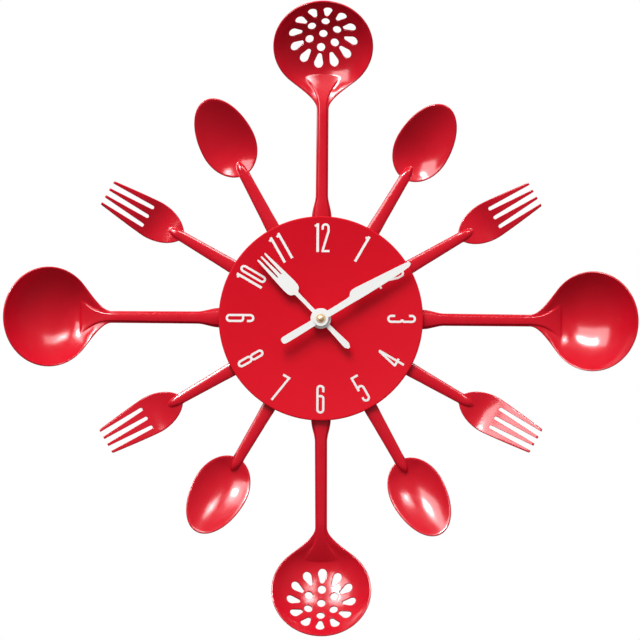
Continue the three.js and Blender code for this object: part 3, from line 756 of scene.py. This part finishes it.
# ---- all twelve utensils ----
def first_mesh(kind, drain_turn):
    """The mesh of one kind of utensil, pointing to twelve o'clock, in front-view millimetres."""
    raised = None
    if kind == "ladle":
        grid = ladle_grid(151.6, 151.2)
    elif kind == "skimmer":
        grid = ladle_grid(156.8, 152.6)
    elif kind == "spoon":
        grid, raised = spoon_grid()
    else:
        grid, raised = fork_grid()
    piece = new_piece(f"first_{kind}", *sheet(grid, raised), "red_enamel")
    if kind == "skimmer":
        carve(piece, *drain_cutters(drain_turn))
    if kind == "fork":
        carve(piece, *slot_cutters(), own_crossings=True)
    if kind in ("skimmer", "fork"):
        smooth_by_angle(piece, 50)
    return piece


def make_utensils():
    """Twelve utensils, each a turned copy of the first of its kind."""
    firsts = {}
    for hour in HOURS:
        kind = UTENSILS[(hour - 1) % 6]
        drain_turn = DRAIN_TURNS.get(hour, 0)
        if (kind, drain_turn) not in firsts:
            firsts[kind, drain_turn] = first_mesh(kind, drain_turn)
        node = f"{kind}_{hour}"
        mesh = firsts[kind, drain_turn].data.copy()
        corners = np.zeros(len(mesh.vertices) * 3)
        mesh.vertices.foreach_get("co", corners)
        corners = corners.reshape(-1, 3) / MM
        front = np.stack([corners[:, 0], corners[:, 2], -corners[:, 1]], axis=1)
        mesh.vertices.foreach_set("co", to_frame(front, bearing(hour)).ravel())
        mesh.update()
        piece = bpy.data.objects.new(f"enamelled_{node}", mesh)
        bpy.context.scene.collection.objects.link(piece)
        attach(piece, "root")
        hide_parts(node)
        if kind in ("skimmer", "fork"):
            weigh = piece.modifiers.new("normals", "WEIGHTED_NORMAL")
            weigh.keep_sharp = True
    for first in firsts.values():
        bpy.data.objects.remove(first)


# ---- dial and its numbers ----
def make_dial():
    """A round plate with a rolled edge, its face a little below its rim."""
    low, high = span("dial_plate")
    radius, back, front = high.x, low.z, high.z
    rolled = [(radius - 0.5 + 0.5 * math.cos(a), (back + front) / 2 + 0.5 * math.sin(a))
              for a in np.linspace(-math.pi / 2, math.pi / 2, 9)]
    face = front - DIAL_DISH
    profile = [(DIAL_BORE, back), *rolled, (radius - 1.2, front), (radius - 1.6, face), (DIAL_BORE, face)]
    piece = new_piece("painted_dial", *turned(profile, 192), "dial_red")
    smooth_by_angle(piece, 30)
    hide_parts("dial_plate")


def curve(cx, cy, rx, ry, start, end, count=12):
    """Centreline points of part of an ellipse, angles in degrees."""
    return [(cx + rx * math.cos(a), cy + ry * math.sin(a)) for a in np.radians(np.linspace(start, end, count))]


def digit_strokes(digit):
    """Centrelines of a narrow digit with round bends, its foot on y = 0 and its middle on x = 0."""
    h, w, s = DIGIT_TALL, DIGIT_HALF, STROKE / 2
    top, low = h - s - w, s + w
    thin = w - 0.2
    over = curve(0, top, w, w, 180, 0)
    under = curve(0, low, w, w, 0, -180)
    shapes = {
        "0": [curve(0, low, thin, w, 180, 360) + curve(0, top, thin, w, 0, 180) + [(-thin, low)]],
        "1": [*[[(x, 0), (x, h)] for x in (0.5, 0.4, 0.6)], [(0.4, h - 0.9), (-1.3, h - 1.9)]],
        "2": [[(-w, top - 1.5)] + over + [(w, top - 2.6), (-w, s)], [(-w - s, 0.6), (w + s, 0.6)]],
        "3": [[(-w, top - 1.8)] + over + curve(w - 1.5, 10.7, 1.5, 1.3, 0, -90),
              curve(w - 1.5, 8.0, 1.5, 1.3, 90, 0) + under + [(-w, low + 2.4)]],
        "4": [[(1.1, 0), (1.1, h)], [(2.8, 4.7), (-2.4, 4.7)], [(-2.2, 4.4), (0.8, h - 0.4)]],
        "5": [[(w + 0.6, h - s), (-w - s, h - s)], [(-w, h), (-w, 8.8)],
              [(-w, 8.2)] + curve(0, 8.8, w, w, 180, 0) + under + [(-w, low + 1.2)]],
        "6": [[(w, top - 2.1)] + curve(0, top, w, w, 0, 180) + curve(0, low, w, w, 180, 360)
              + curve(w - 1.5, 9.5, 1.5, 1.5, 0, 90) + [(s - w, 11)]],
        "7": [[(-2.6, h - s), (w + s, h - s)], [(w, h - 0.2), (-0.9, 0)]],
        "8": [curve(0, low, thin, w, 180, 360) + curve(0, 9.5 - w, thin, w, 0, 180) + [(-thin, low)],
              curve(0, 9.5 + w, thin, w, 180, 360) + curve(0, top, thin, w, 0, 180) + [(-thin, 9.5 + w)]],
    }
    if digit == "9":
        return [[(-x, h - y) for x, y in stroke] for stroke in digit_strokes("6")]
    return shapes[digit]


def ribbon(stroke, depth, thick=0.06):
    """A thin solid printed stroke along a centreline."""
    points = np.array(stroke, float)
    ahead = np.roll(points, -1, axis=0) - points
    ahead[-1] = ahead[-2]
    behind = points - np.roll(points, 1, axis=0)
    behind[0] = ahead[0]
    if np.allclose(points[0], points[-1], atol=0.01):
        behind[0] = points[-1] - points[-2]
        ahead[-1] = points[1] - points[0]
    ahead /= np.linalg.norm(ahead, axis=1, keepdims=True) + 1e-9
    behind /= np.linalg.norm(behind, axis=1, keepdims=True) + 1e-9
    mean = ahead + behind
    mean /= np.linalg.norm(mean, axis=1, keepdims=True)
    stretch = np.clip((mean * ahead).sum(axis=1), 0.6, 1)[:, None]
    side = np.stack([-mean[:, 1], mean[:, 0]], axis=1) * STROKE / 2 / stretch
    rings = []
    for edge, level in ((side, depth), (side, depth + thick), (-side, depth + thick), (-side, depth)):
        rings.append(np.column_stack([points + edge, np.full(len(points), level)]))
    corners = np.concatenate(rings)
    count = len(points)
    faces = []
    for lane in range(4):
        a, b = lane * count, (lane + 1) % 4 * count
        faces += [[a + i, a + i + 1, b + i + 1, b + i] for i in range(count - 1)]
    faces.append([0, count, 2 * count, 3 * count][::-1])
    faces.append([lane * count + count - 1 for lane in range(4)])
    return corners, faces


def make_numbers():
    """The twelve printed numbers, their outer edges a little inside the dial's."""
    edge = span("dial_plate")[1]
    face = edge.z - DIAL_DISH
    middle = edge.x - DIGIT_MARGIN - DIGIT_TALL / 2
    parts = []
    for hour in HOURS:
        angle = math.radians(30 * hour)
        upside_down = 4 <= hour <= 8
        text = str(hour)
        strokes = []
        for place, digit in enumerate(text):
            shift = (place - (len(text) - 1) / 2) * DIGIT_STEP
            for stroke in digit_strokes(digit):
                strokes.append([(x + shift, y - DIGIT_TALL / 2) for x, y in stroke])
        for layer, stroke in enumerate(strokes):
            flipped = [(-x, -y) if upside_down else (x, y) for x, y in stroke]
            points, faces = ribbon([(x, y + middle) for x, y in flipped], face - 0.02 + 0.004 * layer)
            x, y = points[:, 0].copy(), points[:, 1].copy()
            points[:, 0] = x * math.cos(angle) + y * math.sin(angle)
            points[:, 1] = y * math.cos(angle) - x * math.sin(angle)
            parts.append((points, faces))
    piece = new_piece("dial_numerals", *combined(parts), "hand_white")
    smooth_by_angle(piece, 30)


# ---- hands ----
def smooth_outline(points):
    """A closed outline with its corners cut twice, which leaves smooth curves."""
    points = np.array(points, float)
    for _ in range(2):
        after = np.roll(points, -1, axis=0)
        points = np.stack([0.75 * points + 0.25 * after, 0.25 * points + 0.75 * after], axis=1).reshape(-1, 2)
    return points


def plate(outline, back, front):
    """Points and faces of a flat plate."""
    outline = np.asarray(outline, float)
    if np.sum(outline[:, 0] * np.roll(outline[:, 1], -1) - np.roll(outline[:, 0], -1) * outline[:, 1]) < 0:
        outline = outline[::-1]
    return loft([np.column_stack([outline, np.full(len(outline), level)]) for level in (back, front)])


def ring(radius, count):
    """Points of a circle about the clock's axis."""
    return [(radius * math.cos(a), radius * math.sin(a)) for a in np.linspace(0, 2 * math.pi, count + 1)[:-1]]


def hand_angle(node):
    """Clockwise angle of a hand: the direction of its furthest corner from the axis."""
    points = np.array([corner.co for corner in NODES[node].data.vertices])
    tip = points[np.hypot(points[:, 0], points[:, 2]) > 0.97 * np.hypot(points[:, 0], points[:, 2]).max()]
    return math.atan2(tip[:, 0].mean(), tip[:, 2].mean())


def make_hour_hand():
    """A hand shaped like a fork with three tines."""
    low, high = span("hour_hand")
    arm = [(1.35, -24.5), (2.0, -24.0), (2.05, -21.5), (1.5, -12), (1.25, 0), (1.25, 21), (1.6, 22.5),
           (3.5, 23.3), (4.4, 25.5), (4.6, 29), (4.2, 40), (3.6, 53)]
    tines = [(3.5, 54.2), (2.7, 54.2), (2.3, 52.8), (1.95, 39), (1.9, 37.2), (1.2, 37.2), (1.1, 39),
             (0.55, 52.8), (0.5, 54.2)]
    half = [(0.9, -25.9), *arm, *tines]
    outline = smooth_outline(half + [(-x, y) for x, y in half[::-1]])
    plates = [(outline, low.z, high.z), (ring(HOUR_HUB, 64), low.z + 0.02, high.z + 0.05)]
    make_hand("hour_hand", plates, hand_angle("hour_hand"), "hour_work", HOUR_BORE)


def make_minute_hand():
    """A hand shaped like a table knife."""
    low, high = span("minute_hand")
    right = [(0.9, -28.7), (2.0, -28.0), (2.35, -26), (2.2, -14), (1.95, 0), (1.9, 22), (2.1, 30),
             (1.7, 50), (1.0, 62)]
    tip = [(0.5, 65.2), (-0.6, 66.4), (-1.9, 66.3), (-2.7, 64.8)]
    left = [(-4.0, 48), (-5.3, 31), (-5.6, 27), (-5.0, 24.6), (-3.4, 23.2), (-2.2, 22.2), (-2.05, 0),
            (-2.2, -14), (-2.35, -26), (-2.0, -28.0), (-0.9, -28.7)]
    outline = smooth_outline(right + tip + left)
    tip_angle = math.atan2(-1.2, 66.2)
    plates = [(outline, low.z, low.z + ARM_THICK), (ring(MINUTE_HUB, 64), low.z + 0.02, high.z)]
    make_hand("minute_hand", plates, hand_angle("minute_hand") - tip_angle, "minute_work", MINUTE_BORE)


def make_hand(node, plates, angle, body, bore):
    """A hand of a flat outline and a hub disc joined into one, with a bore for its arbor."""
    piece = new_piece(f"white_{node}", *plate(*plates[0]), "hand_white", body, angle)
    points, faces = plate(*plates[1])
    mesh = bpy.data.meshes.new("hub")
    mesh.from_pydata(to_frame(points, angle).tolist(), [], faces)
    hub = bpy.data.objects.new("hub", mesh)
    bpy.context.scene.collection.objects.link(hub)
    modifier = piece.modifiers.new("join", "BOOLEAN")
    modifier.object = hub
    modifier.operation = "UNION"
    modifier.solver = "EXACT"
    apply_modifiers(piece)
    bpy.data.objects.remove(hub)
    low, high = span(node)
    carve(piece, *plate(ring(bore, 40), low.z - 1, high.z + 1))
    soften(piece, 0.16, 2, 40)
    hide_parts(node)


def make_hand_nut():
    """A domed cap on a flat flange."""
    low, high = span("hand_nut")
    flange, foot = high.x, low.z + 0.75
    bore, cap, middle = 1.8, 2.0, 0.02
    rise = high.z - foot
    dome = [(cap * math.cos(a), foot + rise * math.sin(a)) for a in np.linspace(0, math.pi / 2, 9)[:-1]]
    profile = [(bore, low.z), (flange, low.z), (flange, foot - 0.2), (flange - 0.15, foot), *dome,
               (middle, high.z), (middle, low.z + 1.2), (bore, low.z + 1.2)]
    piece = new_piece("brass_hand_nut", *turned(profile, 40), "brass", "minute_work")
    smooth_by_angle(piece, 40)
    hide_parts("hand_nut")


# ---- light, floor and camera ----
def room_light(nodes, links, low, middle, high, behind):
    """A grey that depends on how high a world direction points, and is darker behind the clock."""
    place = nodes.new("ShaderNodeTexCoord")
    axes = nodes.new("ShaderNodeSeparateXYZ")
    height = nodes.new("ShaderNodeMapRange")
    height.inputs["From Min"].default_value = -1
    front = nodes.new("ShaderNodeMapRange")
    front.interpolation_type = "SMOOTHSTEP"
    front.inputs["From Min"].default_value = 0.5
    front.inputs["From Max"].default_value = -0.5
    front.inputs["To Min"].default_value = behind
    ramp = nodes.new("ShaderNodeValToRGB")
    links.new(place.outputs["Generated"], axes.inputs["Vector"])
    links.new(axes.outputs["Z"], height.inputs["Value"])
    links.new(axes.outputs["Y"], front.inputs["Value"])
    links.new(height.outputs["Result"], ramp.inputs["Fac"])
    ramp.color_ramp.elements[0].color = (low, low, low, 1)
    ramp.color_ramp.elements[1].color = (high, high, high, 1)
    between = ramp.color_ramp.elements.new(0.5)
    between.color = (middle, middle, middle, 1)
    background = nodes.new("ShaderNodeBackground")
    links.new(ramp.outputs["Color"], background.inputs["Color"])
    links.new(front.outputs["Result"], background.inputs["Strength"])
    return background.outputs["Background"]


def make_world():
    """White behind the clock, a soft room to light it, and a darker room in its gloss."""
    world = bpy.data.worlds.new("studio")
    bpy.context.scene.world = world
    world.use_nodes = True
    nodes, links = world.node_tree.nodes, world.node_tree.links
    nodes.clear()
    lighting = room_light(nodes, links, 0.15, 0.5, 1.0, 0.35)
    mirrored = room_light(nodes, links, 0.02, 0.04, 0.15, 0.3)
    white = nodes.new("ShaderNodeBackground")
    white.inputs["Color"].default_value = (1, 1, 1, 1)
    path = nodes.new("ShaderNodeLightPath")
    inner = nodes.new("ShaderNodeMixShader")
    outer = nodes.new("ShaderNodeMixShader")
    output = nodes.new("ShaderNodeOutputWorld")
    links.new(path.outputs["Is Glossy Ray"], inner.inputs["Fac"])
    links.new(lighting, inner.inputs[1])
    links.new(mirrored, inner.inputs[2])
    links.new(path.outputs["Is Camera Ray"], outer.inputs["Fac"])
    links.new(inner.outputs["Shader"], outer.inputs[1])
    links.new(white.outputs["Background"], outer.inputs[2])
    links.new(outer.outputs["Shader"], output.inputs["Surface"])


def softbox(name, at, size, power, diffuse=True, glossy=True):
    """An area light at a front-view place in millimetres, aimed at the clock's middle."""
    data = bpy.data.lights.new(name, "AREA")
    data.shape = "RECTANGLE"
    data.size, data.size_y = size
    data.energy = power
    light = bpy.data.objects.new(name, data)
    light.location = to_frame([at])[0]
    light.rotation_euler = (-light.location).to_track_quat("-Z", "Y").to_euler()
    light.visible_diffuse = diffuse
    light.visible_glossy = glossy
    bpy.context.scene.collection.objects.link(light)


def make_lights():
    """Two softboxes with a brighter lamp each, seen only in gloss, and a top light that only lights."""
    softbox("left_softbox", (-321, 285, 393), (0.36, 0.36), 2.5, diffuse=False)
    softbox("left_lamp", (-474, 660, 756), (0.24, 0.2), 9, diffuse=False)
    softbox("right_softbox", (376, 790, 791), (0.46, 0.32), 3.5, diffuse=False)
    softbox("right_lamp", (376, 790, 790), (0.2, 0.14), 1.6, diffuse=False)
    softbox("top_light", (-350, 1400, 1100), (0.9, 0.8), 37, glossy=False)


def make_floor():
    """A pale floor below the clock, sizes in metres."""
    half, drop = 0.6, -0.45
    mesh = bpy.data.meshes.new("floor")
    mesh.from_pydata([(-half, -half, drop), (half, -half, drop), (half, half, drop), (-half, half, drop)], [],
                     [[0, 1, 2, 3]])
    floor = bpy.data.objects.new("floor", mesh)
    bpy.context.scene.collection.objects.link(floor)
    material, _ = new_material("pale_floor", (0.8, 0.8, 0.8), 0.6)
    mesh.materials.append(material)
    floor.visible_diffuse = False
    floor.visible_glossy = False


def make_camera():
    """Square on to the dial from far off, with a very small turn."""
    data = bpy.data.cameras.new("camera")
    data.sensor_width = 36
    data.lens = data.sensor_width * CAMERA_AWAY / VIEW_WIDE
    data.clip_end = 50
    camera = bpy.data.objects.new("camera", data)
    camera.location = (-0.0005, -CAMERA_AWAY - span("dial_plate")[1].z * MM, -0.0010)
    camera.rotation_euler = (math.radians(90), 0, 0)
    camera.rotation_euler.rotate_axis("Z", math.radians(0.31))
    bpy.context.scene.collection.objects.link(camera)
    bpy.context.scene.camera = camera
    bpy.context.scene.view_settings.view_transform = "Standard"


make_camera()
make_world()
make_lights()
make_floor()
dress_cad_nodes()
make_utensils()
make_dial()
make_numbers()
make_hour_hand()
make_minute_hand()
make_hand_nut()
